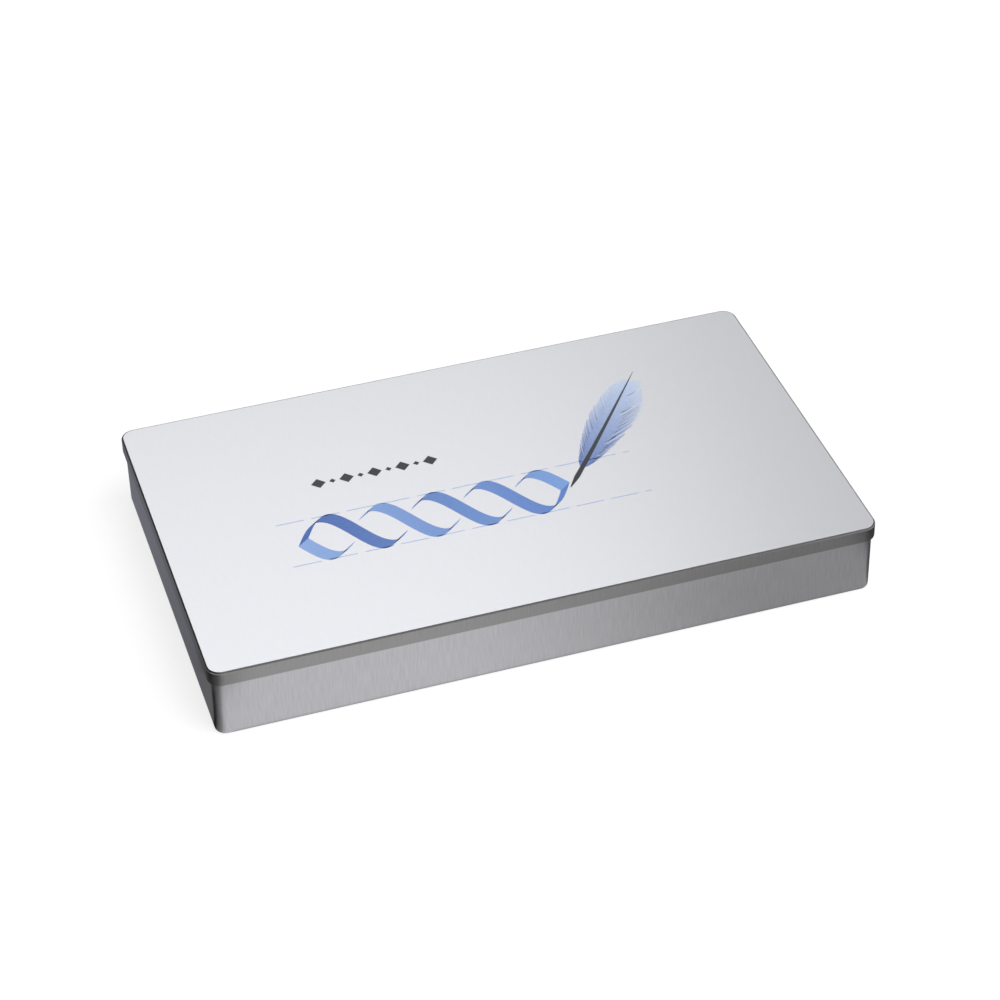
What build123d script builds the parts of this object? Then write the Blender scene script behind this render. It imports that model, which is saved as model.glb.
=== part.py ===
"""Calligraphy set in a slip-lid tin: tin, tray, capped pen, spare nibs, ink cartridges and booklet.

Millimetres. The origin is on the table under the middle of the tin, X runs along its length,
-Y is its front and +Z is up. The lid is closed.
"""

import os
from math import asin, cos, degrees, radians, sin

from build123d import *

# ---- driving dimensions ----

# tin
lid_length = 212.0  # over the skirt
lid_width = 125.5
tin_height = 25.0
lid_corner = 4.5  # plan radius
lid_edge_radius = 0.8
skirt_depth = 5.2
tinplate = 0.3
hem_height = 1.8  # the skirt's edge is folded flat inside it
hem_clearance = 0.3  # between the hem and the body's wall
lid_seat_gap = 0.05  # between the lid and the rolled rim
rim_roll_radius = 0.75  # outside of the roll
rim_roll_sweep = 250.0  # degrees of roll, from the wall over the top
body_foot_radius = 0.8
panel_inset = 7.0  # from the wall to the pressed-up floor panel
panel_rise = 0.8
panel_corner = 3.5
panel_slope = 45.0

# tray
tray_clearance = 0.2  # between the tray and the rolled rim
tray_sheet = 0.6
tray_top = 18.4
tray_corner = 4.0
tray_draft = 2.0
tray_rim_radius = 0.5
pocket_draft = 4.0
seat_gap = 0.02  # under each piece that lies in the tray
pen_channel_gap = 0.5  # round the cap
pen_end_gap = 2.0
tail_channel_radius = 4.4
tail_channel_x = 62.0  # where the channel narrows for the pen's tail
pen_finger_size = (27.0, 31.0)
pen_finger_x = 8.0
pen_finger_corner = 9.0
pen_finger_floor = 4.4
trough_gap = 0.35  # round each cartridge
trough_end_gap = 1.25
trough_axis_depth = 1.0  # of a trough's axis under the tray's top
cartridge_finger_width = 17.0
cartridge_finger_overrun = 3.0  # past the first and last trough's axis
cartridge_finger_shift = 4.0  # from the cartridges' middle
cartridge_finger_corner = 6.0
cartridge_finger_floor = 9.0
booklet_recess = 2.6
booklet_gap = 0.5
booklet_pocket_corner = 1.5
thumb_notch_size = (26.0, 12.0)
thumb_notch_corner = 5.5
thumb_notch_floor = 11.0
thumb_notch_shift = 1.2  # of its middle behind the booklet's front edge
well_size = (37.0, 17.0)
well_corner = 4.0
well_depth = 7.2
well_y = 11.8
well_xs = {"spare_nib_medium": 36.5, "spare_nib_broad": 76.5}
well_nib_gap = 1.5  # from the well's end to the nib's back
nib_post_length = 13.0
nib_post_root = 1.0  # how far the post starts behind the well's end

# pen: u runs along its axis from the cap's crown to the tip of the tail
pen_length = 176.0
pen_y = 41.0
pen_axis_z = 13.0
cap_start = 3.1
cap_lip = 64.0
cap_radius = 6.5
cap_wall = 1.0
cap_crown_wall = 3.0
cap_crown_chamfer = 0.5
cap_lip_chamfer = 0.3
inner_cap_radius = 4.9
inner_cap_wall = 0.8
inner_cap_back_gap = 1.0  # behind the finial's stem
inner_cap_front_gap = 0.6  # before the grip
finial_radius = 5.7
finial_rise = 1.5
stem_radius = 1.9
stem_length = 3.5
clip_plate = 0.65
clip_width = 3.6
clip_root_radius = 5.6
clip_height = 8.6  # over the pen's axis
clip_root_bite = 1.0  # how far the clip's strip starts inside its washer
clip_touch = 41.0  # where the clip comes down on the cap
clip_slope = (7.0, 0.2)  # length of the run down to there, and the fall before it
clip_toe = 3.4  # length that curls up again past there
clip_bend = 0.9
grip_start = 40.0
grip_front_radius = 4.0
grip_flare_radius = 4.5
grip_waist = (48.0, 4.35)
grip_back_radius = 5.45
grip_edge = 0.8  # length of the bevel at the front
grip_shoulder = 2.0  # straight length before the cap's lip
nib_seat_depth = 4.0  # how far the nib's back goes into the grip
nib_bore_overrun = 1.0
cartridge_seat_depth = 14.0  # from the nib's back to the cartridge's neck
cartridge_bore_lead = 0.5
cartridge_bore_gap = 0.2
barrel_radius = 6.1
barrel_bore_radius = 4.2
barrel_bore_clear = 2.0  # behind the cartridge
barrel_edge_chamfer = 0.25
joint_radius = 4.9  # of the screwed joint between section and barrel
joint_length = 9.0
joint_end_gap = 0.5
taper_start = 108.0
tail_start = (134.0, 5.3)  # where the barrel's slight taper ends and its hollow tail begins
tail_fall = 6.3  # degrees, the slope there
tail_tip_radius = 1.9
trim_ring_radius = 6.25
trim_ring_width = 2.0
trim_ring_gap = 0.1  # between the cap's lip and the ring
trim_ring_chamfer = 0.3

# nibs
nib_length = 26.0
nib_sheet = 0.3
nib_radius = 3.2
nib_back_angle = 86.0  # half of what the sheet wraps round the feed
nib_bend = 12.0  # from the back to where the sheet starts to fall
nib_bend_radius = 30.0
nib_drop = 1.7  # how far it has fallen at the writing edge
nib_shoulder = 13.5  # from the back to where it narrows
nib_shoulder_round = 1.0
nib_waist = (17.0, 1.75)  # from the back, and half the width there
nib_waist_round = 4.0
breather_radius = 0.6
breather_inset = 1.0  # behind the shoulder
slit_width = 0.15
pen_nib_edge = 1.1  # width of the writing edge
spare_nib_edges = {"spare_nib_medium": 1.5, "spare_nib_broad": 1.9}
nib_fit = 0.15  # between a nib and what it is pushed onto

# feed
comb_count = 9
comb_pitch = 1.0
comb_slot = 0.4
comb_core_radius = 1.5
comb_inset = 0.35  # of the combs' rims from the nib's underside
comb_front_gap = 0.5  # between the last comb and the grip
feed_tip_radius = 0.6
feed_tip_inset = 3.0  # behind the writing edge
feed_tail_radius = 1.6
feed_tail_gap = 1.0  # between the feed and the cartridge's neck

# ink cartridges
cartridge_count = 5
cartridge_length = 73.0
cartridge_radius = 3.75
cartridge_end_bevel = 0.7
cartridge_neck_radius = 2.2
cartridge_neck_length = 6.5
cartridge_taper = 1.3
neck_lip = 0.3
seal_radius = 1.4
seal_depth = 1.6
seal_recess = 0.3
cartridge_x = 56.5
cartridge_first_y = -49.8
cartridge_pitch = 10.7

# booklet, A7 lying on its long side
booklet_length = 105.0
booklet_width = 74.0
booklet_thickness = 1.8
booklet_card = 0.3
page_trim = 0.5  # how far the pages stop short of the cover
booklet_cut_overrun = 1.0  # how far the cover's hollow is cut past its open edges
booklet_x = -43.5
booklet_y = -15.0
staple_wire = 0.45
staple_crown = 12.0
staple_leg = 5.0
staple_spacing = 37.0

# ---- sizes that follow ----

hem_thickness = 2 * tinplate
skirt_step = hem_thickness + hem_clearance
body_length = lid_length - 2 * skirt_step
body_width = lid_width - 2 * skirt_step
body_corner = lid_corner - skirt_step
skirt_bottom = tin_height - skirt_depth
rim_top = tin_height - tinplate - lid_seat_gap
rim_centre_z = rim_top - rim_roll_radius
tray_length = body_length - 4 * rim_roll_radius - 2 * tray_clearance
tray_width = body_width - 4 * rim_roll_radius - 2 * tray_clearance
pen_start_x = -pen_length / 2
sliding_gap = 0.05  # between pieces of the pen that fit into each other

os.makedirs("parts", exist_ok=True)


def write(builder, name):
    """Labels a finished piece and writes it to its own file."""
    builder.part.label = name
    export_step(builder.part, f"parts/{name}.step")


# ---- tin body: one pressing with a pressed-up floor panel and a rolled rim ----

panel_length = body_length - 2 * panel_inset
panel_width = body_width - 2 * panel_inset
panel_shift = tinplate * (1 - cos(radians(panel_slope))) / sin(radians(panel_slope))


def section_plane(path):
    """A plane across a level path at its start, with local x pointing out of the loop and y up."""
    along = path % 0
    return Plane(origin=path @ 0, x_dir=along.cross(Vector(0, 0, 1)), z_dir=-along)


with BuildPart() as body_cavity:
    with BuildSketch(Plane.XY.offset(tinplate)):
        RectangleRounded(body_length - 2 * tinplate, body_width - 2 * tinplate, body_corner - tinplate)
    extrude(amount=tin_height)
    fillet(body_cavity.faces().sort_by(Axis.Z)[0].edges(), body_foot_radius - tinplate)
    with BuildSketch(Plane.XY.offset(tinplate)):
        RectangleRounded(panel_length + 2 * panel_shift, panel_width + 2 * panel_shift, panel_corner)
    extrude(amount=panel_rise, taper=panel_slope, mode=Mode.SUBTRACT)

with BuildPart() as base_tin:
    with BuildSketch():
        RectangleRounded(body_length, body_width, body_corner)
    extrude(amount=rim_centre_z)
    fillet(base_tin.faces().sort_by(Axis.Z)[0].edges(), body_foot_radius)
    with BuildSketch():
        RectangleRounded(panel_length, panel_width, panel_corner)
    extrude(amount=panel_rise, taper=panel_slope, mode=Mode.SUBTRACT)
    add(body_cavity.part, mode=Mode.SUBTRACT)
    rim_path = base_tin.faces().sort_by(Axis.Z)[-1].outer_wire()
    with BuildSketch(section_plane(rim_path)):
        with BuildLine():
            roll = CenterArc((-rim_roll_radius, 0), rim_roll_radius, 0, rim_roll_sweep)
            roll_inside = CenterArc((-rim_roll_radius, 0), rim_roll_radius - tinplate, 0, rim_roll_sweep)
            Line(roll @ 0, roll_inside @ 0)
            Line(roll @ 1, roll_inside @ 1)
        make_face()
    sweep(path=rim_path)

write(base_tin, "base_tin")

# ---- lid: one pressing with its edge folded flat inside the skirt ----

with BuildPart() as lid_cavity:
    with BuildSketch(Plane.XY.offset(skirt_bottom)):
        RectangleRounded(lid_length - 2 * tinplate, lid_width - 2 * tinplate, lid_corner - tinplate)
    extrude(amount=skirt_depth - tinplate)
    fillet(lid_cavity.faces().sort_by(Axis.Z)[-1].edges(), lid_edge_radius - tinplate)

with BuildPart() as lid:
    with BuildSketch(Plane.XY.offset(skirt_bottom + tinplate)):
        RectangleRounded(lid_length, lid_width, lid_corner)
    extrude(amount=skirt_depth - tinplate)
    fillet(lid.faces().sort_by(Axis.Z)[-1].edges(), lid_edge_radius)
    add(lid_cavity.part, mode=Mode.SUBTRACT)
    hem_path = lid.faces().sort_by(Axis.Z)[0].outer_wire()
    with BuildSketch(section_plane(hem_path)):
        with Locations((-hem_thickness / 2, 0)):
            Circle(hem_thickness / 2)
            Rectangle(hem_thickness, hem_height - tinplate, align=(Align.CENTER, Align.MIN))
    sweep(path=hem_path)

write(lid, "lid")

# ---- tray: thermoformed sheet with a pocket for each piece ----

cap_channel_radius = cap_radius + pen_channel_gap
cap_channel_z = pen_axis_z + pen_channel_gap - seat_gap
trough_radius = cartridge_radius + trough_gap
trough_axis_z = tray_top - trough_axis_depth
cartridge_axis_z = trough_axis_z - trough_gap + seat_gap
cartridge_rows = [cartridge_first_y + i * cartridge_pitch for i in range(cartridge_count)]
booklet_floor = tray_top - booklet_recess
well_floor = tray_top - well_depth
feed_radius = nib_radius - nib_sheet - nib_fit


def channel(radius, axis_y, axis_z, start_x, end_x, grow):
    """What is cut away for a round-bottomed channel along X, open at the top."""
    with BuildPart() as cut:
        with BuildSketch(Plane.YZ.offset(start_x - grow)):
            with Locations((axis_y, axis_z + tin_height / 2)):
                SlotCenterToCenter(tin_height, 2 * (radius + grow), rotation=90)
        extrude(amount=end_x - start_x + 2 * grow)
    return cut.part


def pocket(centre, size, corner, floor, grow):
    """What is cut away for a flat-floored pocket whose walls lean outwards as they rise."""
    floor_plane = Plane.XY.offset(floor - grow)
    with BuildPart() as cut:
        with BuildSketch(floor_plane):
            with Locations(centre):
                RectangleRounded(size[0] + 2 * grow, size[1] + 2 * grow, corner + grow)
        extrude(amount=tin_height - floor)
        walls = cut.faces().filter_by(Axis.Z, reverse=True)
        draft(walls, neutral_plane=floor_plane, angle=-pocket_draft)
    return cut.part


def nib_post(well_x, grow):
    """The half-round post that a spare nib is pushed onto, growing out of its well's end wall."""
    with BuildPart() as post:
        with BuildSketch(Plane.YZ.offset(well_x - well_size[0] / 2 - nib_post_root)):
            with Locations((well_y, well_floor)):
                Circle(feed_radius - grow)
        extrude(amount=nib_post_length + nib_post_root - grow)
    return post.part


def pen_hollows(grow):
    """The pen's two channels and the gap across them for the fingers."""
    tail_end_x = pen_end_gap - pen_start_x
    cap_end_x = pen_start_x - pen_end_gap
    return [
        channel(cap_channel_radius, pen_y, cap_channel_z, cap_end_x, tail_channel_x, grow),
        channel(tail_channel_radius, pen_y, pen_axis_z, tail_channel_x, tail_end_x, grow),
        pocket((pen_finger_x, pen_y), pen_finger_size, pen_finger_corner, pen_finger_floor, grow),
    ]


def cartridge_hollows(grow):
    """A trough for each cartridge and the gap across them for a finger."""
    start_x = cartridge_x - cartridge_length / 2 - trough_end_gap
    end_x = cartridge_x + cartridge_length / 2 + trough_end_gap
    middle = (cartridge_x + cartridge_finger_shift, cartridge_rows[cartridge_count // 2])
    reach = cartridge_rows[-1] - cartridge_rows[0] + 2 * cartridge_finger_overrun
    finger_gap = pocket(
        middle, (cartridge_finger_width, reach), cartridge_finger_corner, cartridge_finger_floor, grow
    )
    troughs = [channel(trough_radius, y, trough_axis_z, start_x, end_x, grow) for y in cartridge_rows]
    return [finger_gap, *troughs]


def booklet_hollows(grow):
    """The booklet's recess and the thumb notch at its front edge."""
    size = (booklet_length + 2 * booklet_gap, booklet_width + 2 * booklet_gap)
    notch_middle = (booklet_x, booklet_y - booklet_width / 2 + thumb_notch_shift)
    return [
        pocket((booklet_x, booklet_y), size, booklet_pocket_corner, booklet_floor, grow),
        pocket(notch_middle, thumb_notch_size, thumb_notch_corner, thumb_notch_floor, grow),
    ]


def tray_form(grow):
    """The tray's upper side as a block, or the block under its sheet when grow is the thickness."""
    wells = [pocket((x, well_y), well_size, well_corner, well_floor, grow) for x in well_xs.values()]
    posts = [nib_post(x, grow) for x in well_xs.values()]
    with BuildPart() as form:
        with BuildSketch(Plane.XY.offset(tinplate)):
            RectangleRounded(tray_length - 2 * grow, tray_width - 2 * grow, tray_corner - grow)
        extrude(amount=tray_top - tinplate - grow, taper=tray_draft)
        if not grow:
            fillet(form.faces().sort_by(Axis.Z)[-1].edges(), tray_rim_radius)
        add([*pen_hollows(grow), *cartridge_hollows(grow), *booklet_hollows(grow)], mode=Mode.SUBTRACT)
        add(wells, mode=Mode.SUBTRACT)
        add(posts)
    return form.part


with BuildPart() as tray:
    add(tray_form(0.0))
    add(tray_form(tray_sheet), mode=Mode.SUBTRACT)

write(tray, "tray")

# ---- nibs: spring steel sheet, bent round, dropped towards the writing edge and cut to outline ----


def nib(back_x, y, z, way, edge):
    """A nib whose back is at back_x, pointing along +X or, when way is -1, along -X."""
    side_plane = Plane(origin=(back_x, y, z), x_dir=(way, 0, 0), z_dir=(0, -way, 0))
    back_plane = Plane(origin=(back_x, y, z), x_dir=(0, way, 0), z_dir=(way, 0, 0))
    plan_plane = Plane(origin=(back_x, y, z), x_dir=(way, 0, 0), z_dir=(0, 0, 1))
    blank_side = nib_radius + nib_sheet
    with BuildPart() as blade:
        with BuildLine(side_plane) as axis_line:
            FilletPolyline((0, 0), (nib_bend, 0), (nib_length, -nib_drop), radius=nib_bend_radius)
        with BuildSketch(back_plane):
            with BuildLine():
                start_angle = 90 - nib_back_angle
                outside = CenterArc((0, 0), nib_radius, start_angle, 2 * nib_back_angle)
                inside = CenterArc((0, 0), nib_radius - nib_sheet, start_angle, 2 * nib_back_angle)
                Line(outside @ 0, inside @ 0)
                Line(outside @ 1, inside @ 1)
            make_face()
        sweep(path=axis_line.line)
        with BuildSketch(plan_plane):
            with BuildLine():
                outline = FilletPolyline(
                    (0, blank_side),
                    (nib_shoulder, blank_side),
                    nib_waist,
                    (nib_length, edge / 2),
                    radius=(nib_shoulder_round, nib_waist_round),
                )
                mirror(outline, about=Plane.XZ)
                Line((0, -blank_side), (0, blank_side))
                Line((nib_length, -edge / 2), (nib_length, edge / 2))
            make_face()
        extrude(amount=blank_side, mode=Mode.INTERSECT)
        with BuildSketch(plan_plane):
            with Locations((nib_shoulder - breather_inset, 0)):
                Circle(breather_radius)
                Rectangle(nib_length, slit_width, align=(Align.MIN, Align.CENTER))
        extrude(amount=blank_side, mode=Mode.SUBTRACT)
    return blade


for name, well_x in well_xs.items():
    spare_back_x = well_x - well_size[0] / 2 + well_nib_gap
    write(nib(spare_back_x, well_y, well_floor, 1, spare_nib_edges[name]), name)

# ---- pen: turned pieces on one axis, their outlines drawn as length u and radius ----

pen_plane = Plane(origin=(pen_start_x, pen_y, pen_axis_z), x_dir=(1, 0, 0), z_dir=(0, -1, 0))
pen_axis = Axis((pen_start_x, pen_y, pen_axis_z), (1, 0, 0))
clip_root = cap_start - clip_plate - sliding_gap
hole_radius = stem_radius + sliding_gap


with BuildPart() as pen_cap:
    with BuildSketch(pen_plane):
        with BuildLine():
            crown_end = cap_start + cap_crown_wall
            Polyline(
                (cap_start, hole_radius),
                (cap_start, cap_radius),
                (cap_lip, cap_radius),
                (cap_lip, cap_radius - cap_wall),
                (crown_end, cap_radius - cap_wall),
                (crown_end, hole_radius),
                close=True,
            )
        make_face()
    revolve(axis=pen_axis)
    rims = pen_cap.edges().filter_by(GeomType.CIRCLE).group_by(Axis.X)
    chamfer(rims[0].sort_by(SortBy.RADIUS)[-1], cap_crown_chamfer)
    chamfer(rims[-1], cap_lip_chamfer)

write(pen_cap, "pen_cap")

with BuildPart() as pen_inner_cap:
    with BuildSketch(pen_plane):
        with BuildLine():
            inner_start = cap_start + stem_length + inner_cap_back_gap
            inner_end = grip_start - inner_cap_front_gap
            Polyline(
                (inner_start, 0),
                (inner_start, inner_cap_radius),
                (inner_end, inner_cap_radius),
                (inner_end, inner_cap_radius - inner_cap_wall),
                (inner_start + inner_cap_wall, inner_cap_radius - inner_cap_wall),
                (inner_start + inner_cap_wall, 0),
                close=True,
            )
        make_face()
    revolve(axis=pen_axis)

write(pen_inner_cap, "pen_inner_cap")

with BuildPart() as pen_cap_finial:
    with BuildSketch(pen_plane):
        with BuildLine():
            dome_radius = (finial_rise**2 + finial_radius**2) / (2 * finial_rise)
            dome_angle = degrees(asin(finial_radius / dome_radius))
            CenterArc((dome_radius, 0), dome_radius, 180 - dome_angle, dome_angle)
            Polyline(
                (finial_rise, finial_radius),
                (clip_root, finial_radius),
                (clip_root, stem_radius),
                (clip_root + stem_length, stem_radius),
                (clip_root + stem_length, 0),
                (0, 0),
            )
        make_face()
    revolve(axis=pen_axis)

write(pen_cap_finial, "pen_cap_finial")

with BuildPart() as pen_clip:
    with BuildSketch(Plane.YZ.offset(pen_start_x + clip_root)):
        with Locations((pen_y, pen_axis_z)):
            Circle(clip_root_radius)
            Circle(hole_radius, mode=Mode.SUBTRACT)
    extrude(amount=clip_plate)
    with BuildLine(pen_plane) as clip_path:
        FilletPolyline(
            (clip_root + clip_plate / 2, clip_root_radius - clip_root_bite),
            (clip_root + clip_plate / 2, clip_height),
            (clip_touch - clip_slope[0], clip_height - clip_slope[1]),
            (clip_touch, cap_radius + clip_plate / 2 + sliding_gap),
            (clip_touch + clip_toe, cap_radius + 2 * clip_plate),
            radius=clip_bend,
        )
    with BuildSketch(Plane(clip_path.line @ 0, x_dir=(0, 1, 0), z_dir=(0, 0, 1))):
        Rectangle(clip_width, clip_plate)
    sweep(path=clip_path.line)

write(pen_clip, "pen_clip")

nib_back_u = grip_start + nib_seat_depth
cartridge_seat_u = nib_back_u + cartridge_seat_depth
nib_bore_radius = nib_radius + sliding_gap
feed_bore_radius = feed_tail_radius + sliding_gap
cartridge_bore_radius = cartridge_radius + cartridge_bore_gap

with BuildPart() as pen_section:
    with BuildSketch(pen_plane):
        with BuildLine():
            shoulder_u = cap_lip - grip_shoulder
            flare_u = grip_start + grip_edge
            nib_bore_end = nib_back_u + nib_bore_overrun
            cartridge_bore_start = cartridge_seat_u - cartridge_bore_lead
            Polyline(
                (flare_u, grip_flare_radius),
                (grip_start, grip_front_radius),
                (grip_start, nib_bore_radius),
                (nib_bore_end, nib_bore_radius),
                (nib_bore_end, feed_bore_radius),
                (cartridge_bore_start, feed_bore_radius),
                (cartridge_bore_start, cartridge_bore_radius),
                (cap_lip + joint_length, cartridge_bore_radius),
                (cap_lip + joint_length, joint_radius),
                (cap_lip, joint_radius),
                (cap_lip, grip_back_radius),
                (shoulder_u, grip_back_radius),
            )
            ThreePointArc(
                (shoulder_u, grip_back_radius), grip_waist, (flare_u, grip_flare_radius)
            )
        make_face()
    revolve(axis=pen_axis)

write(pen_section, "pen_section")

ring_start = cap_lip + trim_ring_gap
ring_end = ring_start + trim_ring_width

with BuildPart() as pen_trim_ring:
    with BuildSketch(pen_plane):
        ring_bore = joint_radius + sliding_gap
        with Locations(((ring_start + ring_end) / 2, (trim_ring_radius + ring_bore) / 2)):
            band = Rectangle(trim_ring_width, trim_ring_radius - ring_bore)
        chamfer(band.vertices().group_by(Axis.Y)[-1], trim_ring_chamfer)
    revolve(axis=pen_axis)

write(pen_trim_ring, "pen_trim_ring")

with BuildPart() as pen_barrel:
    with BuildSketch(pen_plane):
        with BuildLine():
            bore_end = cartridge_seat_u + cartridge_length + barrel_bore_clear
            socket_end = cap_lip + joint_length + joint_end_gap
            tail_arc_u = pen_length - tail_tip_radius
            Polyline(
                (pen_length, 0),
                (bore_end, 0),
                (bore_end, barrel_bore_radius),
                (socket_end, barrel_bore_radius),
                (socket_end, joint_radius + sliding_gap),
                (ring_end, joint_radius + sliding_gap),
                (ring_end, barrel_radius - barrel_edge_chamfer),
                (ring_end + barrel_edge_chamfer, barrel_radius),
                (taper_start, barrel_radius),
                tail_start,
            )
            tail_way = (cos(radians(tail_fall)), -sin(radians(tail_fall)))
            TangentArc(tail_start, (tail_arc_u, tail_tip_radius), tangent=tail_way)
            CenterArc((tail_arc_u, 0), tail_tip_radius, 0, 90)
        make_face()
    revolve(axis=pen_axis)

write(pen_barrel, "pen_barrel")

write(nib(pen_start_x + nib_back_u, pen_y, pen_axis_z, -1, pen_nib_edge), "pen_nib")

comb_radius = feed_radius - comb_inset
comb_end_u = grip_start - comb_front_gap
comb_start_u = comb_end_u - comb_count * comb_pitch - comb_slot
feed_tip_u = nib_back_u - nib_length + feed_tip_inset
feed_end_u = cartridge_seat_u - feed_tail_gap

with BuildPart() as pen_feed:
    with BuildSketch(pen_plane):
        with BuildLine():
            Polyline(
                (feed_tip_u, 0),
                (feed_tip_u, feed_tip_radius),
                (comb_start_u - comb_slot, comb_radius),
                (comb_end_u, comb_radius),
                (comb_end_u, feed_radius),
                (nib_back_u, feed_radius),
                (nib_back_u, feed_tail_radius),
                (feed_end_u, feed_tail_radius),
                (feed_end_u, 0),
                close=True,
            )
        make_face()
    revolve(axis=pen_axis)
    for i in range(comb_count):
        slot_x = pen_start_x + comb_start_u + i * comb_pitch
        with BuildSketch(Plane.YZ.offset(slot_x)):
            with Locations((pen_y, pen_axis_z)):
                Circle(feed_radius)
                Circle(comb_core_radius, mode=Mode.SUBTRACT)
            with Locations((pen_y, pen_axis_z + feed_radius)):
                Rectangle(2 * feed_radius, 2 * feed_radius, mode=Mode.SUBTRACT)
        extrude(amount=comb_slot, mode=Mode.SUBTRACT)

write(pen_feed, "pen_feed")

# ---- ink cartridges: moulded tubes, each with a seal pressed into its neck ----


def ink_cartridge(neck_x, y, z):
    """A cartridge along X with its neck at neck_x."""
    plane = Plane(origin=(neck_x, y, z), x_dir=(1, 0, 0), z_dir=(0, -1, 0))
    with BuildPart() as tube:
        with BuildSketch(plane):
            with BuildLine():
                Polyline(
                    (seal_depth, 0),
                    (seal_depth, seal_radius + sliding_gap),
                    (0, seal_radius + sliding_gap),
                    (0, cartridge_neck_radius - neck_lip),
                    (neck_lip, cartridge_neck_radius),
                    (cartridge_neck_length, cartridge_neck_radius),
                    (cartridge_neck_length + cartridge_taper, cartridge_radius),
                    (cartridge_length - cartridge_end_bevel, cartridge_radius),
                    (cartridge_length, cartridge_radius - cartridge_end_bevel),
                    (cartridge_length, 0),
                    close=True,
                )
            make_face()
        revolve(axis=Axis((neck_x, y, z), (1, 0, 0)))
    return tube


spare_neck_x = cartridge_x - cartridge_length / 2
for number, row_y in enumerate(cartridge_rows, start=1):
    write(ink_cartridge(spare_neck_x, row_y, cartridge_axis_z), f"ink_cartridge_{number}")

write(ink_cartridge(pen_start_x + cartridge_seat_u, pen_y, pen_axis_z), "pen_cartridge")

with BuildPart() as cartridge_seals:
    for row_y in cartridge_rows:
        with BuildSketch(Plane.YZ.offset(spare_neck_x + seal_recess)):
            with Locations((row_y, cartridge_axis_z)):
                Circle(seal_radius)
        extrude(amount=seal_depth - seal_recess)

write(cartridge_seals, "cartridge_seals")

# ---- booklet: card cover round a block of pages, stapled through the fold ----

spine_x = booklet_x - booklet_length / 2
fold_radius = booklet_thickness / 2
fold_z = booklet_floor + seat_gap + fold_radius
page_radius = fold_radius - booklet_card


def folded_stack(radius, end_x, width):
    """A folded stack: half round at the spine, square at end_x, with its fold along Y."""
    with BuildPart() as stack:
        with BuildSketch(Plane.XZ.offset(-booklet_y - width / 2)):
            with Locations(((spine_x + fold_radius + end_x) / 2, fold_z)):
                Rectangle(end_x - spine_x - fold_radius, 2 * radius)
            with Locations((spine_x + fold_radius, fold_z)):
                Circle(radius)
        extrude(amount=width)
    return stack.part


with BuildPart() as booklet_staples:
    with BuildSketch(Plane.XY.offset(fold_z - staple_wire / 2)):
        for side in (-1, 1):
            with Locations((spine_x + staple_leg / 2, booklet_y + side * staple_spacing / 2)):
                Rectangle(staple_leg, staple_crown)
                with Locations((staple_wire, 0)):
                    Rectangle(staple_leg, staple_crown - 2 * staple_wire, mode=Mode.SUBTRACT)
    extrude(amount=staple_wire)

write(booklet_staples, "booklet_staples")

with BuildPart() as booklet_cover:
    add(folded_stack(fold_radius, spine_x + booklet_length, booklet_width))
    hollow_end_x = spine_x + booklet_length + booklet_cut_overrun
    hollow_width = booklet_width + 2 * booklet_cut_overrun
    add(folded_stack(page_radius, hollow_end_x, hollow_width), mode=Mode.SUBTRACT)
    add(booklet_staples.part, mode=Mode.SUBTRACT)

write(booklet_cover, "booklet_cover")

with BuildPart() as booklet_pages:
    page_end_x = spine_x + booklet_length - page_trim
    add(folded_stack(page_radius, page_end_x, booklet_width - page_trim))
    add(booklet_staples.part, mode=Mode.SUBTRACT)

write(booklet_pages, "booklet_pages")
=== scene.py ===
import math
import random

import bmesh
import bpy
from mathutils import Matrix, Vector


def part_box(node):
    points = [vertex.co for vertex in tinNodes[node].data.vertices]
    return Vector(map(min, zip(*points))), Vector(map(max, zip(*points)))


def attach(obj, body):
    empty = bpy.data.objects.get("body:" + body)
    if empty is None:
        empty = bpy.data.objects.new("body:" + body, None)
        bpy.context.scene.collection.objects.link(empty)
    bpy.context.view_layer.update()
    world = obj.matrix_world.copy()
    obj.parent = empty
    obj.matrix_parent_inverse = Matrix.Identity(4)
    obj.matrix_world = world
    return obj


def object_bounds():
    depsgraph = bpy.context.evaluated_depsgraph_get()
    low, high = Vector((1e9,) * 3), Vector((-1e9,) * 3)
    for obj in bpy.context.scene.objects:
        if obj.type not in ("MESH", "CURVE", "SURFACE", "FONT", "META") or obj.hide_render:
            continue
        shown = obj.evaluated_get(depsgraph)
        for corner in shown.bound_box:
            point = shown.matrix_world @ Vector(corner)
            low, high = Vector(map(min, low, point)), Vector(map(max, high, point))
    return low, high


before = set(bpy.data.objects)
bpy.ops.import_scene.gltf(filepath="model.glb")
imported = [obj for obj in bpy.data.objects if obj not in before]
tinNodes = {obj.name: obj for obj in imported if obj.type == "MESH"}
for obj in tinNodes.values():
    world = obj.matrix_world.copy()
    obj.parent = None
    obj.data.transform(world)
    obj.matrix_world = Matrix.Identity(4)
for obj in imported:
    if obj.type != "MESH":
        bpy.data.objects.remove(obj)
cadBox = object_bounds()
mm = 0.001


# sRGB hex to the linear colour that a shader socket takes
def linearFromHex(hexColour):
    channels = [int(hexColour[i:i + 2], 16) / 255 for i in (1, 3, 5)]
    return [c / 12.92 if c <= 0.04045 else ((c + 0.055) / 1.055) ** 2.4 for c in channels] + [1.0]


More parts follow.
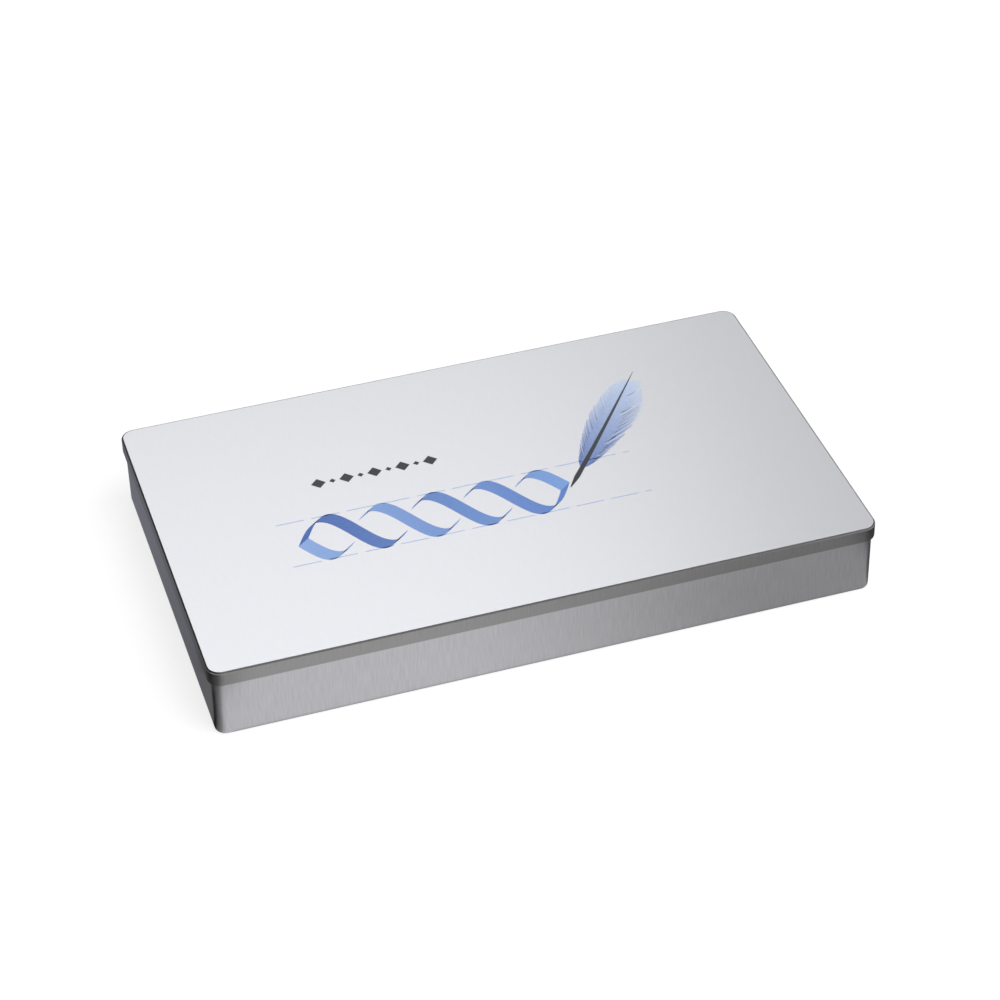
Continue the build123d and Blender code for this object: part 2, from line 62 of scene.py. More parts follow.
# one node with its settings and its inputs; an input given as a node is linked from the output that
# the node has in use, and one given as hex text is a colour. On a Mix node, 0 is the share, 2 and 3
# are two values and 6 and 7 two colours.
def addNode(tree, kind, inputs=None, **settings):
    node = tree.nodes.new(kind)
    for name, value in settings.items():
        setattr(node, name, value)
    for name, value in (inputs or {}).items():
        if isinstance(value, str):
            value = linearFromHex(value)
        if isinstance(value, bpy.types.Node):
            value = next(socket for socket in value.outputs if socket.enabled)
        if isinstance(value, bpy.types.NodeSocket):
            tree.links.new(value, node.inputs[name])
        else:
            node.inputs[name].default_value = value
    return node


def newMaterial(name):
    material = bpy.data.materials.new(name)
    material.use_nodes = True
    material.node_tree.nodes.clear()
    return material, material.node_tree


def finishMaterial(tree, shader):
    addNode(tree, "ShaderNodeOutputMaterial", {"Surface": shader})


def dress(nodeNames, material):
    for name in nodeNames:
        piece = tinNodes[name]
        piece.data.materials.clear()
        piece.data.materials.append(material)


def makeObject(name, corners, faces, material):
    data = bpy.data.meshes.new(name)
    data.from_pydata(corners, [], faces)
    data.materials.append(material)
    made = bpy.data.objects.new(name, data)
    bpy.context.scene.collection.objects.link(made)
    return made


def levelCorners(low, high, z):
    (x0, y0), (x1, y1) = low, high
    return [(x0, y0, z), (x1, y0, z), (x1, y1, z), (x0, y1, z)]


# camera: a long lens, a little from the left and well above the lid
camera = {
    "azimuth": -17.003,
    "elevation": 38.216,
    "roll": -1.373,
    "distance": 930.2 * mm,
    "target": Vector((3.237, 0.312, 15.0)) * mm,
    "lens": 105.33,
    "sensor": 36.0,
    "clip": (0.01, 100),  # m
}


def makeCamera(view):
    azimuth, elevation = math.radians(view["azimuth"]), math.radians(view["elevation"])
    back = Vector((
        math.sin(azimuth) * math.cos(elevation),
        -math.cos(azimuth) * math.cos(elevation),
        math.sin(elevation),
    ))
    level = Vector((math.cos(azimuth), math.sin(azimuth), 0))
    axes = Matrix((level, back.cross(level), back)).transposed()
    data = bpy.data.cameras.new("camera")
    data.lens = view["lens"]
    data.sensor_width = view["sensor"]
    data.clip_start, data.clip_end = view["clip"]
    rig = bpy.data.objects.new("camera", data)
    rig.matrix_world = (
        Matrix.Translation(view["target"] + back * view["distance"])
        @ axes.to_4x4()
        @ Matrix.Rotation(math.radians(view["roll"]), 4, "Z")
    )
    bpy.context.scene.collection.objects.link(rig)
    bpy.context.scene.camera = rig


makeCamera(camera)
bpy.context.scene.view_settings.view_transform = "Standard"
print("camera set")

# studio: a white paper floor, a broad key light from the right and a softer fill from the left. Round
# them stands a pale backdrop, open behind the tin, under a dark ceiling. A softbox hangs behind the
# tin and a dimmer sky in front of it, and the lid mirrors both.
studio = {
    "floorSize": 30.0,  # m
    "floorDrop": 0.02 * mm,  # under the tin's foot
    "floorHole": 2.5 * mm,  # how far inside the tin's outline the floor stops
    "floorColour": "#A8A8A8",
    "floorGlow": 0.72,  # seen by the camera and in metal only, so that the paper looks white
    "keyFrom": Vector((0.55, -0.45, 0.95)),
    "keyStrength": 1.8,
    "keySpread": 60.0,  # degrees
    "fillFrom": Vector((-0.6, -0.6, 1.0)),
    "fillStrength": 1.0,
    "fillSpread": 110.0,
    "worldColour": "#FFFFFF",
    "ceiling": 0.048,
    "backdrop": 0.72,
    "softbox": 1.72,
    "frontSky": 0.45,  # seen in metal and gloss only
    # where each soft edge starts and ends: the height, easting or northing of a direction of length 1
    "backdropTop": (0.16, 0.36),
    "backdropBack": (0.75, 0.90),
    "softboxBottom": (0.50, 0.64),
    "softboxTop": (0.86, 0.96),
    "softboxRight": (0.23, 0.364),
    "softboxLeft": (-0.43, -0.12),
    "softboxNear": (0.0, 0.25),
    "frontSkyFar": (-0.25, 0.15),
    "frontSkyLeft": (-0.45, -0.1),
}


# the floor has a hole under the tin and isn't seen from below, so that the tin's underside shows
def makeFloor():
    half, z, inset = studio["floorSize"] / 2, -studio["floorDrop"], studio["floorHole"]
    (left, front, _), (right, rear, _) = cadBox
    material, tree = newMaterial("mattWhitePaper")
    paper = addNode(tree, "ShaderNodeBsdfDiffuse", {"Color": studio["floorColour"]})
    rays = addNode(tree, "ShaderNodeLightPath")
    seen = rays.outputs["Is Camera Ray"]
    for ray in ("Is Glossy Ray", "Is Transmission Ray"):
        seen = addNode(tree, "ShaderNodeMath", {0: seen, 1: rays.outputs[ray]}, operation="MAXIMUM")
    strength = addNode(tree, "ShaderNodeMath", {0: seen, 1: studio["floorGlow"]}, operation="MULTIPLY")
    glow = addNode(tree, "ShaderNodeEmission", {"Strength": strength})
    lit = addNode(tree, "ShaderNodeAddShader", {0: paper, 1: glow})
    side = addNode(tree, "ShaderNodeNewGeometry")
    clear = addNode(tree, "ShaderNodeBsdfTransparent")
    finishMaterial(tree, addNode(tree, "ShaderNodeMixShader", {
        0: side.outputs["Backfacing"], 1: lit, 2: clear}))
    corners = levelCorners((-half, -half), (half, half), z)
    corners += levelCorners((left + inset, front + inset), (right - inset, rear - inset), z)
    sides = [(i, (i + 1) % 4, 4 + (i + 1) % 4, 4 + i) for i in range(4)]
    makeObject("floor", corners, sides, material)


def makeSun(name, way, strength, spread):
    data = bpy.data.lights.new(name, "SUN")
    data.energy = strength
    data.angle = math.radians(spread)
    sun = bpy.data.objects.new(name, data)
    sun.rotation_euler = way.to_track_quat("Z", "Y").to_euler()
    sun.visible_glossy = False
    bpy.context.scene.collection.objects.link(sun)


def makeWorld():
    world = bpy.data.worlds.new("studio")
    world.use_nodes = True
    tree = world.node_tree
    tree.nodes.clear()
    place = addNode(tree, "ShaderNodeTexCoord")
    way = addNode(tree, "ShaderNodeSeparateXYZ", {"Vector": place.outputs["Generated"]})

    # a patch of light with soft edges: the product of one step for each edge
    def softPatch(*edges):
        product = 1.0
        for axis, span, before, after in edges:
            step = addNode(tree, "ShaderNodeMapRange", {
                "Value": way.outputs[axis], "From Min": studio[span][0], "From Max": studio[span][1],
                "To Min": before, "To Max": after,
            }, interpolation_type="SMOOTHSTEP")
            product = addNode(tree, "ShaderNodeMath", {0: step, 1: product}, operation="MULTIPLY")
        return product

    backdrop = softPatch(
        ("Z", "backdropTop", studio["backdrop"], studio["ceiling"]),
        ("Y", "backdropBack", 1.0, 0.0),
    )
    softbox = softPatch(
        ("Z", "softboxBottom", 0.0, studio["softbox"]),
        ("Z", "softboxTop", 1.0, 0.0),
        ("X", "softboxRight", 1.0, 0.0),
        ("X", "softboxLeft", 0.0, 1.0),
        ("Y", "softboxNear", 0.0, 1.0),
    )
    frontSky = softPatch(
        ("Y", "frontSkyFar", studio["frontSky"], 0.0),
        ("X", "frontSkyLeft", 0.0, 1.0),
    )
    rays = addNode(tree, "ShaderNodeLightPath")
    mirrored = addNode(tree, "ShaderNodeMath", {
        0: frontSky, 1: rays.outputs["Is Glossy Ray"]}, operation="MULTIPLY")
    strength = backdrop
    for light in (softbox, mirrored, rays.outputs["Is Camera Ray"]):
        strength = addNode(tree, "ShaderNodeMath", {0: strength, 1: light}, operation="MAXIMUM")
    glow = addNode(tree, "ShaderNodeBackground", {"Color": studio["worldColour"], "Strength": strength})
    addNode(tree, "ShaderNodeOutputWorld", {"Surface": glow})
    bpy.context.scene.world = world


# painted shade: grey cards on the floor that glow and that only the tin's metal mirrors. They paint dark
# reflections on its walls that stand in for shade on the floor round the tin, so that the walls don't wash
# out against the white. Three long cards in front grade along X: one under the tin's foot, one for its
# body, and the far one for the lid's skirt. A plain card lies at each end.
paintedShadeCards = {
    "lift": 0.04 * mm,  # of the plain cards, and of each fan over what is under it
    "reach": 300 * mm,
    "frontOverrun": 14 * mm,  # past the tin's right end
    "footTone": (0.62, 0.36),
    "bodyTone": (1.0, 0.50),
    "bodySpan": (-38 * mm, 82 * mm),
    "bodyDepth": 24 * mm,
    "skirtTone": (1.0, 0.36),
    "skirtSpan": (-60 * mm, 165 * mm),
    "leftTone": (0.19, 0.28),
    "rightTone": (0.22, 0.30),
    "endSpan": (-60 * mm, 60 * mm),
    # painted shade: a near-black upright screen on the left, glowing faintly, that only the metal mirrors
    "screenTone": 0.03,
    "screenX": -500 * mm,  # an upright screen on the left
    "screenY": (-100 * mm, 1200 * mm),
    "screenHeight": 500 * mm,
    # a faint blue in the left card's glow, so that the shade it paints on the left wall looks bluish
    "leftTint": "#F1F1FF",
    "plainTint": "#FFFFFF",
}

# painted shade: round each front corner lie three fans that glow, one on the other, that only the metal
# mirrors and whose tone changes with the angle: a wide one that paints the corner's soft shade, then one
# that paints the shade on the skirt and one the shade on the body. Each has pairs of an angle, in degrees
# from straight out of the tin's end towards its back, and the tone there.
cornerFans = {
    "Outer": {
        "radius": 70 * mm,
        "fade": 20 * mm,  # over which the fan's rim runs into the end card's tone
        "left": ((-75, 0.70), (-52, 0.02), (-20, 0.02), (0, 0.19)),
        "right": ((-73, 0.28), (-60, 0.02), (-20, 0.02), (0, 0.22)),
    },
    "Skirt": {
        "radius": 42 * mm,
        "fade": 9 * mm,
        "left": (
            (-107, 0.84), (-88, 0.54), (-68, 0.10), (-50, 0.01),
            (20, 0.01), (50, 0.06), (73, 0.12),
        ),
        "right": ((-73, 0.28), (-64, 0.06), (-50, 0.01), (10, 0.01), (50, 0.06)),
    },
    "Body": {
        "radius": 27 * mm,
        "fade": 5 * mm,
        "left": (
            (-107, 1.0), (-72, 0.90), (-45, 0.36), (-10, 0.12),
            (6, 0.01), (27, 0.01), (42, 0.18), (73, 0.19),
        ),
        "right": (
            (-73, 0.50), (-57, 0.50), (-48, 0.54), (-32, 0.44),
            (-12, 0.14), (2, 0.08), (22, 0.08), (48, 0.22),
        ),
    },
}
cornerInset = 4.5 * mm  # from the lid's corner to the middle of its round
fanSteps = 12


# a card that glows and that only glossy rays see: it paints a reflection in the metal and lights nothing
def addPaintedShadeCard(name, corners, tree, material, tone, tint):
    finishMaterial(tree, addNode(tree, "ShaderNodeEmission", {"Color": tint, "Strength": tone}))
    flag = makeObject(name, corners, [tuple(range(len(corners)))], material)
    for ray in ("camera", "diffuse", "shadow", "transmission"):
        setattr(flag, "visible_" + ray, False)


# a level card of painted shade between two corners whose tone grades along X or Y
def makeCard(name, low, high, tones, span, axis="X", tint=paintedShadeCards["plainTint"]):
    material, tree = newMaterial(name + "Card")
    place = addNode(tree, "ShaderNodeTexCoord")
    along = addNode(tree, "ShaderNodeSeparateXYZ", {"Vector": place.outputs["Object"]})
    tone = addNode(tree, "ShaderNodeMapRange", {
        "Value": along.outputs[axis], "From Min": span[0], "From Max": span[1],
        "To Min": tones[0], "To Max": tones[1],
    }, interpolation_type="SMOOTHSTEP")
    addPaintedShadeCard(name, levelCorners(low, high, paintedShadeCards["lift"]), tree, material, tone, tint)


# a fan of painted shade round a middle point; way is -1 for one that opens to the left and 1 to the right
def makeFan(name, middle, way, fan, tones, rimTone):
    material, tree = newMaterial(name + "Card")
    place = addNode(tree, "ShaderNodeTexCoord")
    offset = addNode(tree, "ShaderNodeVectorMath", {
        0: place.outputs["Object"], 1: middle}, operation="SUBTRACT")
    outwards = addNode(tree, "ShaderNodeVectorMath", {0: offset, 1: (way, 1, 1)}, operation="MULTIPLY")
    along = addNode(tree, "ShaderNodeSeparateXYZ", {"Vector": outwards})
    turn = addNode(tree, "ShaderNodeMath", {
        0: along.outputs["Y"], 1: along.outputs["X"]}, operation="ARCTAN2")
    share = addNode(tree, "ShaderNodeMapRange", {
        "Value": turn, "From Min": -math.pi, "From Max": math.pi})
    ramp = addNode(tree, "ShaderNodeValToRGB", {"Fac": share})
    stops = ramp.color_ramp.elements
    stops.remove(stops[1])
    for i, (angle, value) in enumerate(tones):
        stop = stops[0] if i == 0 else stops.new((angle + 180) / 360)
        stop.position = (angle + 180) / 360
        stop.color = (value, value, value, 1)
    radius = fan["radius"]
    length = addNode(tree, "ShaderNodeVectorMath", {0: offset}, operation="LENGTH")
    faded = addNode(tree, "ShaderNodeMapRange", {
        "Value": length.outputs["Value"], "From Min": radius - fan["fade"], "From Max": radius,
    }, interpolation_type="SMOOTHSTEP")
    tone = addNode(tree, "ShaderNodeMix", {0: faded, 2: ramp.outputs["Color"], 3: rimTone})
    x, y, z = middle
    first, last = math.radians(tones[0][0]), math.radians(tones[-1][0])
    turns = [first + (last - first) * i / fanSteps for i in range(fanSteps + 1)]
    rim = [(x + way * radius * math.cos(turn), y + radius * math.sin(turn), z) for turn in turns]
    addPaintedShadeCard(name, [middle, *rim], tree, material, tone, paintedShadeCards["plainTint"])


# the painted shade round the tin: cards and fans that only its metal mirrors
def makePaintedShadeCards():
    (left, front, _), (right, _, _) = cadBox
    reach, inset = paintedShadeCards["reach"], cornerInset
    end, far, corner = right + paintedShadeCards["frontOverrun"], front - paintedShadeCards["bodyDepth"], front + inset
    under = front + studio["floorHole"]
    makeCard("bodyPaintedShade", (left, far), (end, front), paintedShadeCards["bodyTone"], paintedShadeCards["bodySpan"])
    # painted shadow: the card under the foot paints the dark line of a contact shadow along the front
    # wall's foot
    makeCard("footPaintedShadow", (left, front), (end, under), paintedShadeCards["footTone"], paintedShadeCards["bodySpan"])
    makeCard("skirtPaintedShade", (left, -reach), (end, far), paintedShadeCards["skirtTone"], paintedShadeCards["skirtSpan"])
    makeCard("leftPaintedShade", (-reach, corner), (left + inset, reach), paintedShadeCards["leftTone"], paintedShadeCards["endSpan"],
             "Y", paintedShadeCards["leftTint"])
    makeCard("rightPaintedShade", (right - inset, corner), (reach, reach), paintedShadeCards["rightTone"], paintedShadeCards["endSpan"],
             "Y")
    for side, x, way in (("left", left + inset, -1), ("right", right - inset, 1)):
        for layer, (part, fan) in enumerate(cornerFans.items(), 2):
            middle = (x, corner, layer * paintedShadeCards["lift"])
            makeFan(side + part + "Fan", middle, way, fan, fan[side], paintedShadeCards[side + "Tone"][0])
    x, (near, far), height = paintedShadeCards["screenX"], paintedShadeCards["screenY"], paintedShadeCards["screenHeight"]
    material, tree = newMaterial("leftScreenCard")
    screen = [(x, near, 0), (x, far, 0), (x, far, height), (x, near, height)]
    addPaintedShadeCard("leftShadeScreen", screen, tree, material, paintedShadeCards["screenTone"], paintedShadeCards["plainTint"])


makeFloor()
makeSun("key", studio["keyFrom"], studio["keyStrength"], studio["keySpread"])
makeSun("fill", studio["fillFrom"], studio["fillStrength"], studio["fillSpread"])
makeWorld()
makePaintedShadeCards()
print("studio set")

# tinplate, brushed across the tin's width before it was pressed: grey metal with a soft sheen and
# fine straight grain, upright on the front and back walls and level on the end walls
tinplate = {
    "colour": "#BBBBBF",
    "darkGrain": "#AEAEB1",
    "roughness": 0.30,
    "roughnessSwing": 0.02,
    "anisotropy": 0.4,
    "grainAcross": 0.3,  # mm; the real lines are nearer 0.05, too fine to show
    "grainAlong": 7.0,  # mm
    "grainContrast": (0.3, 0.7),  # of the noise, what shows as the darkest and lightest streaks
    "grainDepth": 0.0006,  # mm
    "grainBump": 0.5,
    "wallFacing": 0.7,  # how squarely a place must face a wall's way to take that wall's grain
}

# the lid: the same tinplate with its bare skirt in a darker grey than the base's walls, and on its top a
# pearl-white lacquer that half covers the metal, so that the top looks pale and even from all sides
lidFinish = {
    **tinplate,
    "colour": "#949393",
    "darkGrain": "#8C8B8B",
    "topColour": "#E6E7EC",
    "topGrain": "#E3E4E9",
    "topMetal": 0.3,
    "topRoughness": 0.22,
    "topWay": (0, -0.15, 1),  # the lacquer lies where the surface faces this way, a hair to the front
    "topStart": (0.955, 0.985),  # how much so where the lacquer begins and where it is full
    "topHeight": cadBox[1][2] - 1.0 * mm,
}


# the streaks of the brushing, and the way that they run
def brushedGrain(tree, coords, look):
    place = addNode(tree, "ShaderNodeSeparateXYZ", {"Vector": coords.outputs["Object"]})
    facing = addNode(tree, "ShaderNodeSeparateXYZ", {"Vector": coords.outputs["Normal"]})
    onWall = []
    for axis in "XY":
        squarely = addNode(tree, "ShaderNodeMath", {0: facing.outputs[axis]}, operation="ABSOLUTE")
        onWall.append(addNode(tree, "ShaderNodeMath", {
            0: squarely, 1: look["wallFacing"]}, operation="GREATER_THAN"))
    onEnd, onLong = onWall
    notLong = addNode(tree, "ShaderNodeMath", {0: 1.0, 1: onLong}, operation="SUBTRACT")
    # across the grain is X, or Z on the end walls; along it is Y, and Z as well on the long walls
    across = addNode(tree, "ShaderNodeMix", {0: onEnd, 2: place.outputs["X"], 3: place.outputs["Z"]})
    folded = addNode(tree, "ShaderNodeMath", {
        0: place.outputs["Y"], 1: place.outputs["Z"]}, operation="ADD")
    along = addNode(tree, "ShaderNodeMix", {0: onEnd, 2: folded, 3: place.outputs["Y"]})
    grainPlace = addNode(tree, "ShaderNodeCombineXYZ", {"X": across, "Y": along})
    grainScale = addNode(tree, "ShaderNodeVectorMath", {
        0: grainPlace,
        1: (1 / (look["grainAcross"] * mm), 1 / (look["grainAlong"] * mm), 1.0),
    }, operation="MULTIPLY")
    grain = addNode(tree, "ShaderNodeTexNoise", {
        "Vector": grainScale, "Scale": 1.0, "Detail": 3.0, "Roughness": 0.6}, noise_dimensions="2D")
    dark, light = look["grainContrast"]
    streaks = addNode(tree, "ShaderNodeMapRange", {
        "Value": grain.outputs["Fac"], "From Min": dark, "From Max": light})
    grainWay = addNode(tree, "ShaderNodeCombineXYZ", {"Y": notLong, "Z": onLong})
    return streaks, grainWay


# the inputs that change where the lacquer lies over the metal
def pearlLacquer(tree, coords, streaks, metal, roughness, look):
    lacquer = addNode(tree, "ShaderNodeMix", {
        0: streaks, 6: look["topGrain"], 7: look["topColour"]}, data_type="RGBA")
    place = addNode(tree, "ShaderNodeSeparateXYZ", {"Vector": coords.outputs["Object"]})
    upwards = addNode(tree, "ShaderNodeVectorMath", {
        0: coords.outputs["Normal"], 1: look["topWay"]}, operation="DOT_PRODUCT")
    up = addNode(tree, "ShaderNodeMapRange", {
        "Value": upwards.outputs["Value"],
        "From Min": look["topStart"][0], "From Max": look["topStart"][1]})
    high = addNode(tree, "ShaderNodeMath", {
        0: place.outputs["Z"], 1: look["topHeight"]}, operation="GREATER_THAN")
    onTop = addNode(tree, "ShaderNodeMath", {0: up, 1: high}, operation="MULTIPLY")
    return {
        "Base Color": addNode(tree, "ShaderNodeMix", {0: onTop, 6: metal, 7: lacquer}, data_type="RGBA"),
        "Metallic": addNode(tree, "ShaderNodeMapRange", {
            "Value": onTop, "To Min": 1.0, "To Max": look["topMetal"]}),
        "Roughness": addNode(tree, "ShaderNodeMix", {0: onTop, 2: roughness, 3: look["topRoughness"]}),
    }


def brushedTinplate(name, look):
    material, tree = newMaterial(name)
    coords = addNode(tree, "ShaderNodeTexCoord")
    streaks, grainWay = brushedGrain(tree, coords, look)
    bump = addNode(tree, "ShaderNodeBump", {
        "Strength": look["grainBump"], "Distance": look["grainDepth"] * mm, "Height": streaks})
    roughness = addNode(tree, "ShaderNodeMapRange", {
        "Value": streaks, "To Min": look["roughness"] - look["roughnessSwing"],
        "To Max": look["roughness"] + look["roughnessSwing"]})
    metal = addNode(tree, "ShaderNodeMix", {
        0: streaks, 6: look["darkGrain"], 7: look["colour"]}, data_type="RGBA")
    inputs = {"Base Color": metal, "Metallic": 1.0, "Roughness": roughness, "Normal": bump}
    if "topColour" in look:
        inputs.update(pearlLacquer(tree, coords, streaks, metal, roughness, look))
    finishMaterial(tree, addNode(tree, "ShaderNodeBsdfPrincipled", {
        **inputs, "Anisotropic": look["anisotropy"], "Tangent": grainWay}))
    return material


dress(["base_tin"], brushedTinplate("brushedTinplate", tinplate))
dress(["lid"], brushedTinplate("pearlLacqueredTinplate", lidFinish))
print("tinplate dressed")

inkFilm = 0.015 * mm  # how thick the ink of a print lies


# a thin closed film of ink: strips, each between a left and a right line of points
def printFilm(look, part, strips, floorZ, ink):
    corners, faces = [], []
    for strip in strips:
        first = len(corners)
        for (leftX, leftY), (rightX, rightY) in strip:
            corners += [(leftX, leftY, floorZ), (rightX, rightY, floorZ),
                        (rightX, rightY, floorZ + inkFilm), (leftX, leftY, floorZ + inkFilm)]
        last = len(corners) - 4
        for start in range(first, last, 4):
            faces += [(start + side, start + (side + 1) % 4, start + 4 + (side + 1) % 4, start + 4 + side)
                      for side in range(4)]
        faces += [(first + 3, first + 2, first + 1, first), (last, last + 1, last + 2, last + 3)]
    film = makeObject(look["piece"] + "_" + part, corners, faces, ink)
    outward = bmesh.new()
    outward.from_mesh(film.data)
    bmesh.ops.recalc_face_normals(outward, faces=outward.faces)
    outward.to_mesh(film.data)
    outward.free()
    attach(film, look["body"])


# the way at an angle from X, and the way at a right angle to another
def headed(degrees):
    return Vector((math.cos(math.radians(degrees)), math.sin(math.radians(degrees))))


def leftOf(way):
    return Vector((-way.y, way.x))


# a stroke of a broad-edge pen: the edge keeps its angle, so the line swells and thins as it turns
def penStroke(points, width, angle):
    half = headed(angle) * width / 2
    return [(Vector(point) - half, Vector(point) + half) for point in points]


# two strands of penStrokes that twine about a level line, each broken where it passes under
def twinedStrands(look):
    startX, midY = look["start"]
    strands = []
    for strand in (0, 1):
        runs, run = [], []
        steps = int(look["halfTurns"] * look["stepsPerHalfTurn"])
        for step in range(steps + 1):
            turn = step / look["stepsPerHalfTurn"]
            nearest = round(turn)
            away = abs(turn - nearest) * look["wave"] / 2
            inside = 0 < nearest < look["halfTurns"]
            if inside and nearest % 2 == strand and away < look["underGap"]:
                if run:
                    runs.append(run)
                run = []
                continue
            swing = math.sin(math.pi * turn) * look["height"] / 2 * (1, -1)[strand]
            run.append((startX + turn * look["wave"] / 2, midY + swing))
        strands.append([penStroke(points, look["width"], look["penAngle"]) for points in [*runs, run]])
    return strands


# a line of dashes from one point to another
def dashedLine(start, end, look):
    start, end = Vector(start), Vector(end)
    along = (end - start).normalized()
    side = leftOf(along) * look["width"] / 2
    dashes, way = [], 0.0
    while way < (end - start).length:
        near = start + along * way
        far = start + along * min(way + look["dash"], (end - start).length)
        dashes.append([(near + side, near - side), (far + side, far - side)])
        way += look["dash"] + look["gap"]
    return dashes


# a square stood on its corner, as a broad-edge pen leaves it
def penDiamond(x, y, size, angle):
    along = headed(angle) * size / 2
    across = leftOf(along)
    middle = Vector((x, y))
    return [(middle - along + across, middle - along - across),
            (middle + along + across, middle + along - across)]


# a quill: a curved shaft and the barbs on both sides of it, thin slivers that lean to the tip
def quillStrips(look):
    draw = random.Random(look["seed"])
    tip, bow, top = (Vector(look[key]) for key in ("tip", "bow", "top"))

    def onShaft(t):
        return tip * (1 - t) ** 2 + bow * 2 * t * (1 - t) + top * t ** 2

    def alongShaft(t):
        return ((bow - tip) * (1 - t) + (top - bow) * t).normalized()

    shaft = []
    for step in range(look["shaftSteps"] + 1):
        t = step / look["shaftSteps"]
        taper = (look["shaftHair"] + 1 - t) ** look["shaftTaper"]
        cut = min(1, look["nibWidth"] + t * look["nibSlope"])
        side = leftOf(alongShaft(t)) * look["shaftWidth"] / 2 * taper * cut
        shaft.append((onShaft(t) + side, onShaft(t) - side))
    barbs = []
    vane = 1 - look["vaneStart"]
    for side in (1, -1):
        for barb in range(look["barbs"]):
            share = barb / look["barbs"]
            if share > look["vaneEnd"]:
                break
            t = look["vaneStart"] + vane * share
            step = vane / look["barbs"] * look["barbCover"]
            arch = math.sin(math.pi * (share * look["vaneArch"] + look["vaneRise"]))
            length = look["vaneWidth"][side < 0] * arch ** look["vaneFullness"]
            length *= draw.uniform(*look["barbLengths"])
            if draw.random() < look["splitShare"]:
                length *= look["splitLength"]
            along = alongShaft(t)
            way = Matrix.Rotation(math.radians(look["barbLean"]) * side, 2) @ along
            clear = way * look["rootGap"]
            root, rootEnd = onShaft(t) + clear, onShaft(min(1, t + step)) + clear
            end, endEnd = root + way * length, rootEnd + way * length * look["barbSkew"]
            bend = along * length * look["barbBend"]
            middle, middleEnd = (root + end) / 2 - bend, (rootEnd + endEnd) / 2 - bend
            point = end.lerp(endEnd, look["barbTip"])
            barbs.append([(root, rootEnd), (middle, middleEnd), (end, point)])
    return [shaft], barbs


# offset ink under a thin varnish: flat even colour with a faint mottle where the ink took unevenly
inkLook = {
    "roughness": (0.35, 0.5),
    "mottle": 1.2,  # mm
    "mottleSwing": 0.12,
    "varnish": 0.25,
    "varnishRoughness": 0.2,
    "ior": 1.5,
}


# ink that fades from one colour at the start point to another at the end point
def offsetInk(name, colours, start, end):
    material, tree = newMaterial(name)
    place = addNode(tree, "ShaderNodeTexCoord")
    way = Vector(end) - Vector(start)
    fromStart = addNode(tree, "ShaderNodeVectorMath", {
        0: place.outputs["Object"], 1: (*start, 0.0)}, operation="SUBTRACT")
    along = addNode(tree, "ShaderNodeVectorMath", {
        0: fromStart, 1: (*(way / way.length_squared), 0.0)}, operation="DOT_PRODUCT")
    mottle = addNode(tree, "ShaderNodeTexNoise", {
        "Vector": place.outputs["Object"], "Scale": 1 / (inkLook["mottle"] * mm), "Detail": 3.0})
    swing = inkLook["mottleSwing"]
    uneven = addNode(tree, "ShaderNodeMapRange", {
        "Value": mottle.outputs["Fac"], "To Min": -swing, "To Max": swing})
    share = addNode(tree, "ShaderNodeMath", {
        0: along.outputs["Value"], 1: uneven}, operation="ADD", use_clamp=True)
    colour = addNode(tree, "ShaderNodeMix", {0: share, 6: colours[0], 7: colours[1]}, data_type="RGBA")
    smooth, rough = inkLook["roughness"]
    roughness = addNode(tree, "ShaderNodeMapRange", {
        "Value": mottle.outputs["Fac"], "To Min": smooth, "To Max": rough})
    finishMaterial(tree, addNode(tree, "ShaderNodeBsdfPrincipled", {
        "Base Color": colour, "Roughness": roughness, "IOR": inkLook["ior"],
        "Coat Weight": inkLook["varnish"], "Coat Roughness": inkLook["varnishRoughness"]}))
    return material


# the twined ribbon in its two inks, and a dashed guide line on each side of it
def printRibbon(look, topZ, ribbonInk, lineInk):
    ribbon, guides = look["ribbon"], look["guides"]
    startX, midY = ribbon["start"]
    start, end = (startX, midY), (startX + ribbon["halfTurns"] * ribbon["wave"] / 2, midY)
    for number, (strand, colours) in enumerate(zip(twinedStrands(ribbon), ribbon["colours"]), 1):
        ink = offsetInk(f"{ribbonInk}{number}", colours, start, end)
        printFilm(look, f"ribbon_{number}", strand, topZ, ink)
    lines = []
    for side in (-1, 1):
        y = midY + side * guides["rise"]
        lines += dashedLine((guides["x"][0], y), (guides["x"][1], y), guides)
    ink = offsetInk(lineInk, (guides["colour"], guides["colour"]), start, end)
    printFilm(look, "guide_lines", lines, topZ, ink)


# a row of large and small lozenges in turn
def printLozenges(look, topZ, name):
    row = look["lozenges"]
    marks = [penDiamond(row["x"] + step * row["spacing"], row["y"], row["sizes"][step % 2], row["angle"])
             for step in range(row["count"])]
    start, end = (row["x"], row["y"]), (row["x"] + row["count"] * row["spacing"], row["y"])
    ink = offsetInk(name, (row["colour"], row["colour"]), start, end)
    printFilm(look, "lozenges", marks, topZ, ink)


